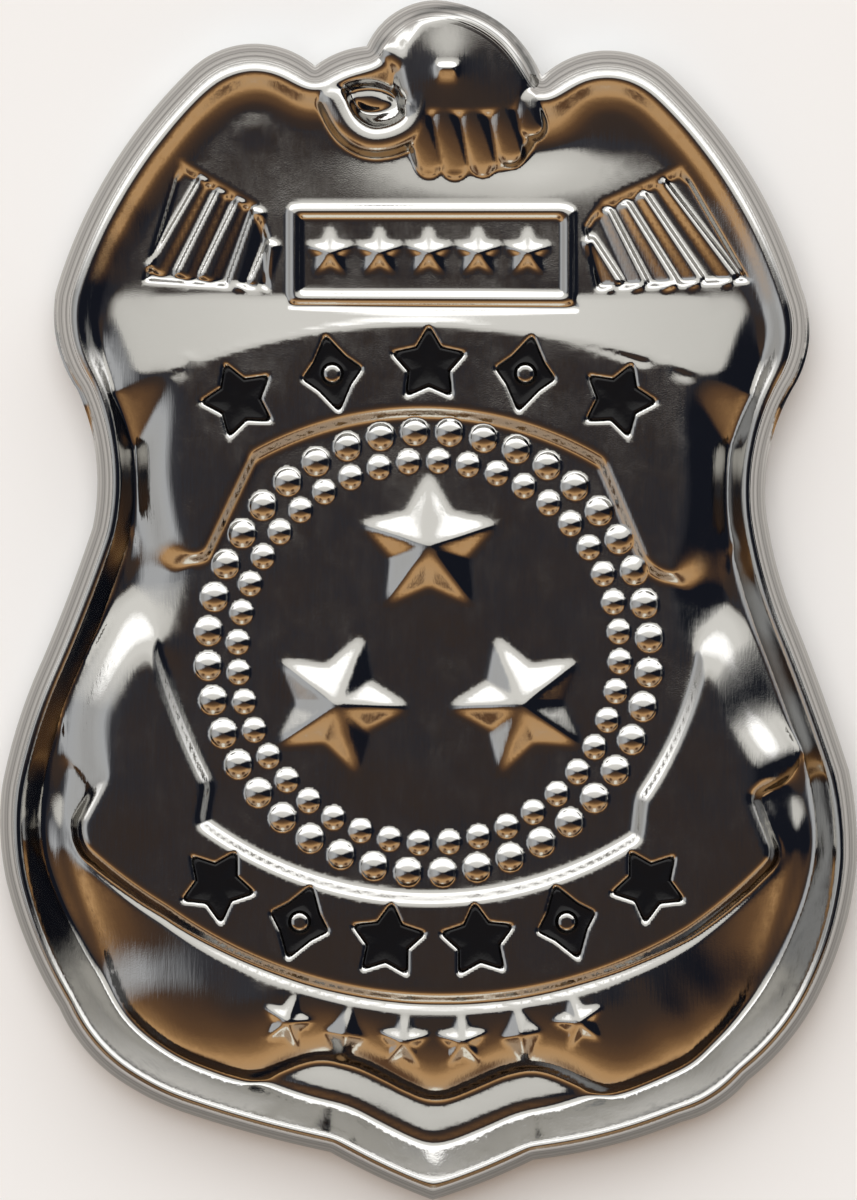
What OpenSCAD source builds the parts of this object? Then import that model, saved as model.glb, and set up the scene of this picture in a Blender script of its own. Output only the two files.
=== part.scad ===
// A shield badge pressed from one sheet of metal: an eagle over a small panel, two ribbons round a
// medallion of beads and stars, and a raised rim. It lies on its back edge, face up, tip towards -Y.

/* [Shield] */
// Height from the tip to the top of the eagle's head
badge_h = 76; // [60:0.5:95]
// Width at the widest place
badge_w = 54.4; // [44:0.1:68]
// Thickness of the pressed sheet
sheet = 0.4; // [0.3:0.05:0.6]

/* [Rim] */
// Height of the plain skirt at the outer edge
skirt_h = 2.4; // [2:0.1:2.8]
// Height of the rim's crest above the back edge
crest_h = 4.2; // [3.8:0.1:5]
// Width from the outer edge to the valley inside the rim
rim_w = 3.7; // [3.2:0.1:4.4]
// Greatest length of a facet along the outlines
facet = 2.7; // [2.2:0.1:4]
// How far the crest leans towards the tip
crest_lean = 0.4; // [0:0.05:0.6]

/* [Field] */
// Height of the valley inside the rim
valley_h = 2.3; // [2:0.1:2.6]
// Height of the flat middle of the field
field_h = 3.3; // [3:0.1:3.8]
// Width of the slope from the valley up to the flat middle
slope_w = 2.6; // [1.8:0.1:3.2]

/* [Ribbons and panel] */
// Rise of the ribbons above the field
ribbon_rise = 0.65; // [0.5:0.05:1]
// Width of the sloped edge round a ribbon
edge_w = 0.8; // [0.5:0.05:1.1]
// Depth of the sunk places that hold the enamel
sunk_d = 0.35; // [0.2:0.05:0.5]
// Radius of a sunk place
place_r = 2.35; // [1.8:0.05:2.6]
// Gap between the enamel and the metal
enamel_gap = 0.05; // [0.03:0.01:0.1]
// Rise of the panel's frame and of the small relief above the field
panel_rise = 0.5; // [0.3:0.05:0.7]

/* [Medallion] */
// Beads in each of the two rows
beads_per_row = 40; // [32:1:42]
// Radius of the outer row
outer_row_r = 14; // [13.4:0.1:14.4]
// Radius of the inner row
inner_row_r = 12.1; // [11.4:0.1:12.4]
// Radius of a bead in the outer row
outer_bead_r = 0.88; // [0.7:0.02:0.95]
// Radius of a bead in the inner row
inner_bead_r = 0.73; // [0.6:0.02:0.8]
// Distance of the three stars from the middle of the medallion
star_ring_r = 6.7; // [6:0.1:7]
// Radius of a star at its points
star_r = 4.3; // [3.6:0.1:4.6]
// Rise of a star's middle above the field
star_rise = 1.2; // [0.8:0.1:1.5]

/* [Eagle] */
// Rise of the eagle's head above the rim's crest
head_rise = 0.8; // [0.4:0.1:1.2]
// Rise of the beak above the rim's crest
beak_rise = 0.3; // [0.1:0.1:0.6]
// Rise of the feathers above what carries them
feather_rise = 0.5; // [0.3:0.05:0.7]
// Half the width of a feather
feather_half_w = 0.62; // [0.45:0.01:0.7]

/* [Pin] */
// Length of the bar behind the badge
bar_l = 26; // [20:0.5:27]
// Width of the bar
bar_w = 4.2; // [3:0.1:6]
// Thickness of the bar and of its two lugs
bar_t = 0.6; // [0.4:0.05:0.8]
// Radius of the pin wire
wire_r = 0.45; // [0.35:0.05:0.55]
// Gap between the bar and the sheet above it
bar_gap = 0.1; // [0.05:0.05:0.2]

/* [Hidden] */

ribbon_h = field_h + ribbon_rise;
panel_h = field_h + panel_rise;
neck_h = (field_h + crest_h) / 2;
// How far a cutting form runs past what it cuts
over = 1;
// How far neighbouring forms run into each other
lap = 0.5;
// How far a sloped form starts below the surface that carries it
sink = 0.06;
// Flat floor of the valley between the rim and the field's slope
valley_flat = 0.35;
medallion = [0, -0.087 * badge_h / 2];
star_turns = [0, 20, -20];
star_inner = 0.55;
place_inner = 0.55;
pip_r = 0.28 * place_r;
bead_sink = 0.15;
// Height of a bead, sunk part included, as a share of its radius
bead_share = 0.64;
// Where the valley rises to the wings' level, from the middle of the badge
wing_start = 15;
wing_rise_l = 3;
// Where each row of beads starts, in degrees clockwise from the top
outer_row_start = 5.4;
inner_row_start = 2.9;
// The small stars in the panel and the small figures under the lower ribbon
panel_star_r = 1.55;
panel_star_inner = 0.5;
panel_star_pitch = 0.115;
panel_star_y = 0.578;
stud_r = 1.75;

// Each outline below runs counter-clockwise. A row is [x share of half the width, y share of half
// the height, bulge of the arc to the next row], where the bulge is twice the arc's rise over its chord.
shield_arcs = [
    [0.02, 1, 0.3], [-0.145, 0.923, 0.15], [-0.265, 0.89, 0.39], [-0.557, 0.883, 0.13],
    [-0.869, 0.513, 0.195], [-0.818, 0.35, -0.16], [-0.783, 0.12, -0.02], [-0.9, -0.1, 0.06],
    [-0.993, -0.308, 0.085], [-0.984, -0.467, 0.08], [-0.86, -0.68, 0.15], [-0.711, -0.805, 0.07],
    [-0.557, -0.857, 0.03], [-0.23, -0.92, 0.04], [0.009, -1, 0.04], [0.243, -0.933, 0.07],
    [0.588, -0.87, 0.16], [0.744, -0.8, 0.125], [0.919, -0.642, 0.09], [0.997, -0.433, 0.06],
    [0.978, -0.283, 0.016], [0.861, -0.05, -0.065], [0.786, 0.142, -0.155], [0.845, 0.35, 0.245],
    [0.868, 0.52, 0.13], [0.56, 0.877, 0.39], [0.263, 0.872, 0.29]
];
// The field's edge leaves the shield's below the wings' corners and passes under the eagle's neck.
field_arcs = concat([for (i = [4:23]) shield_arcs[i]], [
    [0.868, 0.52, 0.11], [0.62, 0.83, 0], [0.43, 0.935, 0], [0.263, 0.872, 0], [0.01, 0.8, 0],
    [-0.265, 0.89, 0], [-0.44, 0.94, 0], [-0.615, 0.84, 0.12]
]);
upper_ribbon_arcs = [
    [-0.53, 0.4, 0], [-0.675, 0.435, 0], [-0.59, 0.355, 0.05], [-0.61, 0.2, 0], [-0.58, 0.085, 0.3],
    [-0.525, 0.08, 0], [-0.415, 0.245, -0.27], [0.41, 0.235, 0], [0.505, 0.075, 0.3],
    [0.575, 0.045, 0.1], [0.615, 0.135, 0.05], [0.605, 0.33, 0], [0.695, 0.42, 0], [0.495, 0.39, 0.183]
];
lower_ribbon_arcs = [
    [-0.655, -0.065, 0.05], [-0.755, -0.2, 0], [-0.745, -0.295, 0], [-0.8, -0.37, 0.2],
    [-0.785, -0.415, 0.05], [-0.605, -0.51, 0.3], [0.6, -0.545, 0.05], [0.78, -0.435, 0.3],
    [0.785, -0.41, 0], [0.74, -0.325, 0], [0.785, -0.29, 0], [0.705, -0.21, 0.05],
    [0.65, -0.09, -0.1], [0.505, -0.335, 0], [0.495, -0.4, -0.315], [-0.54, -0.375, 0],
    [-0.525, -0.31, -0.05]
];
base_field_arcs = [[-0.612, -0.566, 0.5], [0.622, -0.592, -0.268]];
head_arcs = [
    [0.005, 0.95, 0.15], [-0.065, 0.915, 0.1], [-0.02, 0.81, 0.05], [0.2, 0.81, 0.1],
    [0.225, 0.84, 0.1], [0.15, 0.92, 0.15]
];
neck_arcs = [
    [-0.03, 0.84, 0], [-0.03, 0.74, 0.1], [0.04, 0.71, 0.1], [0.2, 0.73, 0.1], [0.25, 0.82, 0]
];
beak_arcs = [
    [-0.08, 0.905, 0.05], [-0.19, 0.905, 0.2], [-0.255, 0.87, 0.25], [-0.14, 0.77, 0.3],
    [-0.015, 0.835, 0.2]
];
mouth_arcs = [[-0.16, 0.865, 0.3], [-0.22, 0.84, 0.5], [-0.085, 0.81, 0.4], [-0.055, 0.84, 0.2]];

// The feathers of each wing, from the outside in, and the short ones of the neck, from left to right.
// A row is [x share and y share of the upper end, x share and y share of the lower end].
left_feathers = [
    [-0.51, 0.715, -0.635, 0.55], [-0.47, 0.695, -0.57, 0.54], [-0.425, 0.68, -0.515, 0.535],
    [-0.39, 0.665, -0.45, 0.525], [-0.355, 0.61, -0.4, 0.525]
];
right_feathers = [
    [0.525, 0.71, 0.705, 0.535], [0.48, 0.69, 0.625, 0.53], [0.44, 0.675, 0.565, 0.525],
    [0.4, 0.665, 0.495, 0.525], [0.36, 0.615, 0.435, 0.525]
];
neck_feathers = [
    [-0.01, 0.79, 0.01, 0.715], [0.03, 0.79, 0.045, 0.72], [0.075, 0.795, 0.095, 0.715],
    [0.11, 0.795, 0.13, 0.72], [0.15, 0.805, 0.17, 0.725], [0.19, 0.815, 0.21, 0.74]
];

// The rim's section, from the skirt to the valley, and the slope from the valley to the flat middle.
// A row is [share of the width, share of the rise].
rim_section = [[0, 0], [0.3, 0.86], [0.4, 1], [0.5, 0.98], [1, 0]];
slope_section = [[0, 0], [0.4, 0.6], [1, 1]];

function at(share) = [share[0] * badge_w / 2, share[1] * badge_h / 2];
function unit(v) = v / norm(v);
function turned(v) = [v[1], -v[0]];

// A point a share f along the arc from p to q
function arc_point(p, q, bulge, f) =
    abs(bulge) < 0.001 ? p + (q - p) * f :
    let (
        middle = (p + q) / 2 + (1 - bulge * bulge) / (4 * bulge) * [p[1] - q[1], q[0] - p[0]],
        angle = 4 * atan(bulge) * f,
        arm = p - middle
    )
    middle + [arm[0] * cos(angle) - arm[1] * sin(angle), arm[0] * sin(angle) + arm[1] * cos(angle)];

// All points of an outline, each arc in steps no longer than a facet
function outline(arcs, step = facet) = [
    for (i = [0:len(arcs) - 1])
    let (
        p = at(arcs[i]),
        q = at(arcs[(i + 1) % len(arcs)]),
        bulge = arcs[i][2],
        steps = abs(bulge) < 0.001 ? 1 : max(2, ceil(norm(q - p) / step))
    )
    for (s = [0:steps - 1]) arc_point(p, q, bulge, s / steps)
];

// The same outline moved inwards by d, or outwards where d is negative
function moved_in(points, d) = [
    for (i = [0:len(points) - 1])
    let (
        n = len(points),
        a = -turned(unit(points[i] - points[(i + n - 1) % n])),
        b = -turned(unit(points[(i + 1) % n] - points[i]))
    )
    points[i] + d * (a + b) / max(1 + a * b, 0.45)
];

// A section's points moved down into the sheet by t, between a first and a last direction
function sunk_section(rows, t, first, last) = [
    for (i = [0:len(rows) - 1])
    let (
        a = turned(i == 0 ? first : unit(rows[i] - rows[i - 1])),
        b = turned(i == len(rows) - 1 ? last : unit(rows[i + 1] - rows[i]))
    )
    rows[i] + t * (a + b) / (1 + a * b)
];

function star_points(r, inner, turn = 0) = [
    for (i = [0:9]) (i % 2 == 0 ? r : r * inner) * [cos(90 + turn + 36 * i), sin(90 + turn + 36 * i)]
];
function lozenge_points(r) = [[0, r], [-0.42 * r, 0.36 * r], [-0.78 * r, 0], [-0.42 * r, -0.36 * r],
                              [0, -r], [0.42 * r, -0.36 * r], [0.78 * r, 0], [0.42 * r, 0.36 * r]];

function foot(t) = t > 0 ? -over : 0;

// The triangles of a wall between neighbouring loops of n points each, and round from the last
// loop to the first where the form is a ring
function wall_faces(n, loops, ring = false) = [
    for (k = [0:loops - (ring ? 1 : 2)], i = [0:n - 1])
    let (a = k * n, b = ((k + 1) % loops) * n, j = (i + 1) % n)
    each [[a + i, b + i, b + j], [a + i, b + j, a + j]]
];

// How far the rim leans towards the tip at a height
function lean(height) = [0, -crest_lean * max(0, height - skirt_h) / (crest_h - skirt_h)];

// Carries a section round an outline as one ring. A row is [distance in, height].
module swept(points, rows, t) {
    n = len(points);
    all_rows = concat([[rows[0][0], foot(t)]], rows, [[rows[len(rows) - 1][0], foot(t)]]);
    function inward(i) = -turned(unit(points[(i + 1) % n] - points[(i + n - 1) % n]));
    polyhedron(
        [for (r = all_rows, i = [0:n - 1]) concat(points[i] + r[0] * inward(i) + lean(r[1] + t), r[1])],
        wall_faces(n, len(all_rows), true)
    );
}

// Fills an outline with a form whose levels are [distance in, height], from its foot to its flat top
module stacked(points, levels) {
    n = len(points);
    polyhedron(
        [for (l = levels, p = moved_in(points, l[0])) concat(p, l[1])],
        concat(
            [[for (i = [0:n - 1]) i]],
            wall_faces(n, len(levels)),
            [[for (i = [n - 1:-1:0]) (len(levels) - 1) * n + i]]
        )
    );
}

// A form with a flat top along the outline and a sloped edge outside it
module raised(points, top, drop, spread, t = 0) {
    out = t - spread - sink * spread / drop;
    stacked(points, [[out, foot(t)], [out, top - drop - t - sink], [0.4 * t, top - t]]);
}

// A pyramid over an outline round the origin, with its foot just inside what carries it
module ridged(points, base, top) {
    n = len(points);
    polyhedron(
        concat([for (p = points) concat(p, base - sink)], [[0, 0, top]]),
        concat([[for (i = [0:n - 1]) i]], [for (i = [0:n - 1]) [i, n, (i + 1) % n]])
    );
}

// A ridge along a feather, from its upper end p to its lower end q
module feather(p, q, base) {
    along = unit(q - p);
    side = feather_half_w * turned(along);
    hip = feather_half_w * along;
    ends = [p - hip / 2, q + hip / 2];
    corners = [p - side, q - side, q + side, p + side];
    hull() {
        translate([0, 0, base - 2 * lap - sink]) linear_extrude(2 * lap - sink) polygon(corners);
        polyhedron(
            [concat(ends[0], base - sink), concat(ends[1], base - sink), concat(q, base + feather_rise),
             concat(p, base + feather_rise)],
            [[0, 1, 2, 3]]
        );
    }
}

module rim_form(t) {
    slopes = [for (r = rim_section)
        [r[0] * rim_w, r[0] < 1 ? skirt_h + r[1] * (crest_h - skirt_h) : valley_h]];
    last = len(slopes) - 1;
    fall = unit(slopes[last] - slopes[last - 1]);
    rows = [for (i = [0:last]) i < last ? slopes[i] : slopes[last] + lap * fall];
    swept(outline(shield_arcs), sunk_section(rows, t, [0, 1], fall), t);
}

module field_form(t) {
    translate([0, 0, foot(t)])
        linear_extrude(valley_h - t - foot(t))
            offset(delta = 3 * lap - t / 2 - rim_w) polygon(outline(shield_arcs));
    wing_floor(t);
    start = rim_w + valley_flat;
    stacked(outline(field_arcs, 2 * facet), concat(
        [[start - sink, foot(t)], [start - sink, valley_h - t - sink]],
        [for (i = [1:len(slope_section) - 1])
            [start + slope_section[i][0] * slope_w, valley_h - t + slope_section[i][1] * (field_h - valley_h)]]
    ));
}

// Between the wings the rim falls straight to the field, with no valley.
module wing_floor(t) {
    low = [wing_start, valley_h - t - sink];
    high = [wing_start + wing_rise_l, field_h - t - 1.5 * sink];
    end = badge_h;
    intersection() {
        translate([0, 0, foot(t)])
            linear_extrude(field_h)
                offset(delta = lap + 0.7 - t / 2 - rim_w) polygon(outline(shield_arcs));
        rotate([90, 0, 90])
            linear_extrude(2 * badge_w, center = true)
                polygon([low, [low[0], foot(t)], [end, foot(t)], [end, high[1]], high]);
    }
}

// The plan of a sunk place, a star or a lozenge with a pip, grown on all sides
module place_plan(is_star, grow) {
    if (is_star) {
        offset(delta = grow) polygon(star_points(place_r, place_inner));
    } else {
        difference() {
            offset(delta = grow) polygon(lozenge_points(place_r));
            if (pip_r > grow) circle(pip_r - grow, $fn = 12);
        }
    }
}

// Where the places sit, the first at the left. A row is [the arc's middle, its radius as a share of the
// height, the pitch in degrees, whether each place is a star].
upper_places = [[0, -0.49], 33.5 / 76, 10.5, [true, false, true, false, true]];
lower_places = [[0.01, 0.142], 27.1 / 76, 12.1, [true, false, true, true, false, true]];
stud_places = [[0.01, 0.142], 33.4 / 76, 6.4, [true, false, true, true, false, true]];

module on_place(places, i, side) {
    turn = (i - (len(places[3]) - 1) / 2) * places[2];
    middle = at(places[0]);
    radius = places[1] * badge_h;
    translate([middle[0] + radius * sin(turn), middle[1] + side * radius * cos(turn), 0])
        rotate(-side * turn)
            children();
}

module sunk_places(places, side, t) {
    for (i = [0:len(places[3]) - 1])
        on_place(places, i, side)
            translate([0, 0, ribbon_h - sunk_d - t])
                linear_extrude(sunk_d + over) place_plan(places[3][i], t);
}

module upper_ribbon_form(t) {
    difference() {
        union() {
            raised(outline(upper_ribbon_arcs), ribbon_h, ribbon_rise, edge_w, t);
            ramp(t);
        }
        sunk_places(upper_places, 1, t);
    }
}

// The broad slope from the ends of the wings' feathers up to the upper ribbon
module ramp(t) {
    crest = [[-0.53, 0.4], [-0.27, 0.44], [0, 0.455], [0.27, 0.44], [0.495, 0.39]];
    start = [[-0.62, 0.5], [0.66, 0.5]];
    function inward(p) = at(p) - [sign(p[0]) * 2 * t, 0];
    foot_h = valley_h / 2 - t;
    hull() {
        for (p = crest)
            translate(concat(inward(p), foot_h)) cylinder(r = 0.1, h = ribbon_h - t - sink / 2 - foot_h, $fn = 4);
        for (p = start)
            translate(concat(inward(p), foot_h)) cylinder(r = 0.1, h = field_h - t - sink - foot_h, $fn = 4);
    }
}

module lower_ribbon_form(t) {
    difference() {
        raised(outline(lower_ribbon_arcs), ribbon_h, ribbon_rise, edge_w, t);
        sunk_places(lower_places, -1, t);
    }
    raised(outline(base_field_arcs), field_h + ribbon_rise / 2, ribbon_rise / 2, edge_w, t);
}

module panel() {
    difference() {
        raised([at([-0.325, 0.655]), at([-0.325, 0.49]), at([0.345, 0.485]), at([0.345, 0.655])],
               panel_h, panel_rise, panel_rise);
        translate([0, 0, field_h])
            linear_extrude(panel_rise + over)
                polygon([at([-0.3, 0.64]), at([-0.3, 0.515]), at([0.305, 0.515]), at([0.305, 0.64])]);
    }
    for (i = [-2:2])
        translate(at([panel_star_pitch * i, panel_star_y]))
            ridged(star_points(panel_star_r, panel_star_inner), field_h, panel_h);
}

module studs() {
    for (i = [0:len(stud_places[3]) - 1])
        on_place(stud_places, i, -1)
            ridged(stud_places[3][i] ? star_points(stud_r, panel_star_inner) : lozenge_points(stud_r),
                   field_h + ribbon_rise / 2, field_h + ribbon_rise / 2 + panel_rise);
}

// A bead is a low dome with eleven sides
module bead_row(row_r, bead_r, start) {
    for (i = [0:beads_per_row - 1])
        rotate(start - i * 360 / beads_per_row)
            translate([0, row_r, field_h - bead_sink])
                rotate_extrude($fn = 11)
                    polygon([[0, 0], [bead_r, 0], [0.72 * bead_r, 0.69 * bead_share * bead_r],
                             [0, bead_share * bead_r]]);
}

module medallion_form(t) {
    translate(medallion)
        for (i = [0:2])
            rotate(i * 120)
                translate([0, star_ring_r, 0])
                    rotate(-i * 120 - star_turns[i])
                        if (t > 0) {
                            if (star_r > 4 * t)
                                translate([0, 0, -t]) ridged(star_points(star_r - 2 * t, star_inner),
                                                             field_h, field_h + star_rise);
                        } else {
                            ridged(star_points(star_r, star_inner), field_h, field_h + star_rise);
                        }
}

module eagle_form(t) {
    raised(outline(head_arcs), crest_h + head_rise, head_rise, edge_w, t);
    raised(outline(neck_arcs), neck_h, neck_h - valley_h, edge_w, t);
    difference() {
        raised(outline(beak_arcs), crest_h + beak_rise, beak_rise, edge_w / 2, t);
        translate([0, 0, crest_h + beak_rise - feather_rise - t])
            linear_extrude(feather_rise + over) offset(delta = t) polygon(outline(mouth_arcs));
    }
}

module feathers() {
    for (f = concat(left_feathers, right_feathers)) feather(at([f[0], f[1]]), at([f[2], f[3]]), field_h);
    for (f = neck_feathers)
        feather(at([f[0], f[1]]), at([f[2], f[3]]), neck_h);
}

module press_form(t) {
    rim_form(t);
    field_form(t);
    upper_ribbon_form(t);
    lower_ribbon_form(t);
    medallion_form(t);
    eagle_form(t);
}

module pressed_shell() color("silver") {
    difference() {
        union() {
            press_form(0);
            panel();
            studs();
            feathers();
            translate(medallion) {
                bead_row(outer_row_r, outer_bead_r, -outer_row_start);
                bead_row(inner_row_r, inner_bead_r, -inner_row_start);
            }
        }
        press_form(sheet);
    }
}

module fill(places, i, side) color([0.02, 0.02, 0.02]) {
    on_place(places, i, side)
        translate([0, 0, ribbon_h - sunk_d + enamel_gap])
            linear_extrude(sunk_d - 2 * enamel_gap) place_plan(places[3][i], -enamel_gap);
}

module pin_back() color("silver") {
    top = field_h - sheet - bar_gap;
    wire_z = wire_r + bar_t / 2;
    translate([0, 0.3 * badge_h / 2, 0]) {
        translate([-bar_l / 2, -bar_w / 2, top - bar_t]) cube([bar_l, bar_w, bar_t]);
        for (x = [-bar_l / 2, bar_l / 2 - bar_t])
            translate([x, -bar_w / 4, wire_z - wire_r]) cube([bar_t, bar_w / 2, top - wire_z + wire_r]);
        translate([-bar_l / 2 + bar_t / 2, 0, wire_z])
            rotate([0, 90, 0]) cylinder(r = wire_r, h = bar_l - bar_t);
    }
}

pressed_shell();
pin_back();
fill(upper_places, 0, 1);  // upper_fill_1
fill(upper_places, 1, 1);  // upper_fill_2
fill(upper_places, 2, 1);  // upper_fill_3
fill(upper_places, 3, 1);  // upper_fill_4
fill(upper_places, 4, 1);  // upper_fill_5
fill(lower_places, 0, -1);  // lower_fill_1
fill(lower_places, 1, -1);  // lower_fill_2
fill(lower_places, 2, -1);  // lower_fill_3
fill(lower_places, 3, -1);  // lower_fill_4
fill(lower_places, 4, -1);  // lower_fill_5
fill(lower_places, 5, -1);  // lower_fill_6
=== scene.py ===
"""Dresses the shield badge: the pressed sheet with all its relief, the black enamel and the stage."""

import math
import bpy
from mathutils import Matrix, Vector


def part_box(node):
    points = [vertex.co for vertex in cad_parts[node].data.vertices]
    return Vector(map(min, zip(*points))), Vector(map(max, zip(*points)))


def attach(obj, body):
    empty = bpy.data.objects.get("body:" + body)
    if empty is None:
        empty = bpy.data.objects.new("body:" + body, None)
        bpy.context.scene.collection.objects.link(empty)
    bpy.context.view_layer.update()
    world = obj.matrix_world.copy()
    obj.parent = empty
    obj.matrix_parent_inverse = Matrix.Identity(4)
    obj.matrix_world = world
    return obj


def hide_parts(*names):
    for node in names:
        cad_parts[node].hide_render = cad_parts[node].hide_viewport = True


bl_info = {
    "name": "Pressed Shield Badge",
    "version": (1, 0, 0),
    "blender": (4, 5, 0),
    "location": "3D Viewport > Sidebar > Badge",
    "description": "Makes a shield badge pressed from one sheet of metal, its enamel and its stage",
    "category": "Object",
}

import bmesh
import bpy
import numpy as np
from bpy.props import FloatProperty, FloatVectorProperty, IntProperty
from mathutils import Vector
from mathutils.geometry import delaunay_2d_cdt

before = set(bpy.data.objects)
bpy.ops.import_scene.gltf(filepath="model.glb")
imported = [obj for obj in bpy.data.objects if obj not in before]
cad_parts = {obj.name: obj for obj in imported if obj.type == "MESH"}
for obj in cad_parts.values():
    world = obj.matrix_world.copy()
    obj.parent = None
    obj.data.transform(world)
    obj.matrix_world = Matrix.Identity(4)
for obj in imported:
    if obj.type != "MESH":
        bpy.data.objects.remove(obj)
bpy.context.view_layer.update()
SHELL_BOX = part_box("pressed_shell")
MM = 0.001
ENAMEL_ROWS = ("upper", "lower")
# The stage in metres: half the floor's side, the camera's height and the height at which the badge's
# outline is seen. The picture is a little taller than the badge.
FLOOR_HALF = 0.8
CAMERA_HEIGHT = 0.8
OUTLINE_HEIGHT = 0.001
CAMERA_MARGIN = 1.002

# Each outline runs counter-clockwise. A row is [x share of half the width, y share of half the height,
# bulge of the arc to the next row], where the bulge is twice the arc's rise over its chord, and a row
# without one starts a straight stretch.
SHIELD = [
    [0.02, 1, 0.3], [-0.145, 0.923, 0.15], [-0.265, 0.89, 0.39], [-0.557, 0.883, 0.13],
    [-0.869, 0.513, 0.195], [-0.818, 0.35, -0.16], [-0.783, 0.12, -0.02], [-0.9, -0.1, 0.06],
    [-0.993, -0.308, 0.085], [-0.984, -0.467, 0.08], [-0.86, -0.68, 0.15], [-0.711, -0.805, 0.07],
    [-0.557, -0.857, 0.03], [-0.23, -0.92, 0.04], [0.009, -1, 0.04], [0.243, -0.933, 0.07],
    [0.588, -0.87, 0.16], [0.744, -0.8, 0.125], [0.919, -0.642, 0.09], [0.997, -0.433, 0.06],
    [0.978, -0.283, 0.016], [0.861, -0.05, -0.065], [0.786, 0.142, -0.155], [0.845, 0.35, 0.245],
    [0.868, 0.52, 0.13], [0.56, 0.877, 0.39], [0.263, 0.872, 0.29],
]
# The field's edge leaves the shield's below the wings' corners and passes under the eagle's neck.
FIELD = SHIELD[4:24] + [
    [0.868, 0.52, 0.11], [0.62, 0.83], [0.43, 0.935], [0.263, 0.872], [0.01, 0.8],
    [-0.265, 0.89], [-0.44, 0.94], [-0.615, 0.84, 0.12],
]
UPPER_RIBBON = [
    [-0.53, 0.4], [-0.675, 0.435], [-0.59, 0.355, 0.05], [-0.61, 0.2], [-0.58, 0.085, 0.3],
    [-0.525, 0.08], [-0.415, 0.245, -0.27], [0.41, 0.235], [0.505, 0.075, 0.3],
    [0.575, 0.045, 0.1], [0.615, 0.135, 0.05], [0.605, 0.33], [0.695, 0.42], [0.495, 0.39, 0.183],
]
LOWER_RIBBON = [
    [-0.655, -0.065, 0.05], [-0.755, -0.2], [-0.745, -0.295], [-0.8, -0.37, 0.2],
    [-0.785, -0.415, 0.05], [-0.605, -0.51, 0.3], [0.6, -0.545, 0.05], [0.78, -0.435, 0.3],
    [0.785, -0.41], [0.74, -0.325], [0.785, -0.29], [0.705, -0.21, 0.05],
    [0.65, -0.09, -0.1], [0.505, -0.335], [0.495, -0.4, -0.315], [-0.54, -0.375],
    [-0.525, -0.31, -0.05],
]
HEAD = [
    [-0.02, 0.965, 0.1], [-0.075, 0.9, 0.1], [-0.04, 0.81, 0.05], [0.2, 0.81, 0.1],
    [0.235, 0.86, 0.1], [0.18, 0.935, 0.15], [0.08, 0.975, 0.1],
]
NECK = [[-0.03, 0.84], [-0.03, 0.74, 0.1], [0.04, 0.71, 0.1], [0.2, 0.73, 0.1], [0.25, 0.82]]
MOUTH = [[-0.16, 0.865, 0.3], [-0.22, 0.84, 0.5], [-0.085, 0.81, 0.4], [-0.055, 0.84, 0.2]]
# The beak's curl, and the swelling inside the mouth
COIL = [[-0.225, 0.835], [-0.19, 0.79], [-0.145, 0.768], [-0.095, 0.768], [-0.045, 0.785],
        [-0.02, 0.815], [-0.02, 0.85], [-0.04, 0.885], [-0.085, 0.91]]
MOUTH_LENS = [[-0.07, 0.825, 0.45], [-0.19, 0.835, 0.35]]
PANEL = [[-0.325, 0.655], [-0.325, 0.49], [0.345, 0.485], [0.345, 0.655]]
PANEL_FLOOR = [[-0.3, 0.64], [-0.3, 0.515], [0.305, 0.515], [0.305, 0.64]]

# The sunk places of each wing that hold the feathers
LEFT_WING_FLOOR = [[-0.58, 0.735], [-0.665, 0.53], [-0.37, 0.515], [-0.37, 0.6], [-0.4, 0.66]]
RIGHT_WING_FLOOR = [[0.59, 0.725], [0.4, 0.665], [0.36, 0.62], [0.39, 0.515], [0.75, 0.53]]

# The feathers of each wing, from the outside in, and those of the neck, from left to right.
# A row is [x share and y share of the upper end, x share and y share of the lower end].
LEFT_FEATHERS = [
    [-0.51, 0.715, -0.635, 0.55], [-0.47, 0.695, -0.57, 0.54], [-0.425, 0.68, -0.515, 0.535],
    [-0.39, 0.665, -0.45, 0.525], [-0.355, 0.61, -0.4, 0.525],
]
RIGHT_FEATHERS = [
    [0.525, 0.71, 0.705, 0.535], [0.48, 0.69, 0.625, 0.53], [0.44, 0.675, 0.565, 0.525],
    [0.4, 0.665, 0.495, 0.525], [0.36, 0.615, 0.435, 0.525],
]
NECK_FEATHERS = [
    [-0.03, 0.82, 0, 0.725], [0.035, 0.815, 0.06, 0.722], [0.1, 0.815, 0.125, 0.728],
    [0.17, 0.825, 0.19, 0.745], [0.225, 0.83, 0.24, 0.79],
]
# The section of a feather. A row is [millimetres across, rise in millimetres].
LEFT_SECTION = [[-0.52, 0], [-0.42, 0.31], [0.16, 0.285], [0.62, 0]]
RIGHT_SECTION = [[-0.5, 0], [-0.32, 0.34], [-0.04, 0.39], [0.6, 0]]

# The middle of the arcs of the lower half, in shares, and the stars (1) and lozenges (0) of its rows
LOWER_MIDDLE = (0.01, 0.142)
SIX_FIGURES = (1, 0, 1, 1, 0, 1)
# Figures in a row on an arc: the arc's middle in shares, its radius, the pitch in degrees, the side
# of the middle on which they stand, and whether each is a star or a lozenge.
FIGURE_ROWS = {
    "upper": {"middle": (0, -0.49), "radius": 33.5, "pitch": 10.5, "side": 1, "stars": (1, 0, 1, 0, 1)},
    "lower": {"middle": LOWER_MIDDLE, "radius": 27.1, "pitch": 12.1, "side": -1, "stars": SIX_FIGURES},
    "studs": {"middle": LOWER_MIDDLE, "radius": 33.4, "pitch": 6.4, "side": -1, "stars": SIX_FIGURES},
}
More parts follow.
